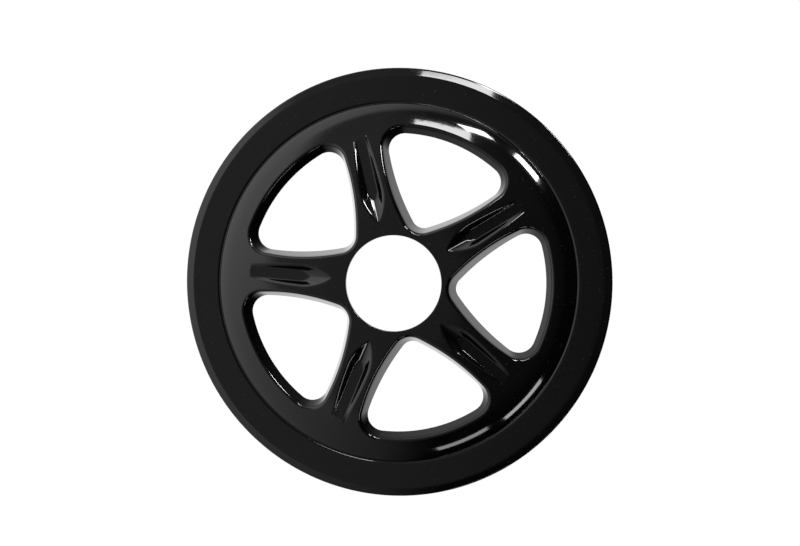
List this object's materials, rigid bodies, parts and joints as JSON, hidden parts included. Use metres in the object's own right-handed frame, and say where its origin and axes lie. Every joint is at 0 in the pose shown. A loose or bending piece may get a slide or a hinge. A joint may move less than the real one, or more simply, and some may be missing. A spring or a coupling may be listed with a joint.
{
  "type": "bicycle chain guard",
  "caption": "Round moulded chain guard disc with a domed spoked web, curved windows, boat-shaped scoops in the spokes, a flat rim flange and a central bore for the crank.",
  "frame": {"origin": "on the disc's axis, in the plane of the back of the flange", "axes": "+Z along the axis towards the front of the hub, +Y along the middle of one spoke"},
  "size_m": [0.186, 0.186, 0.013],
  "materials": {
    "gloss_black_plastic": "glossy as moulded, with a slightly finer-grained flange"
  },
  "bodies": {
    "root": {"guard_disc": "gloss_black_plastic"}
  },
  "joints": []
}
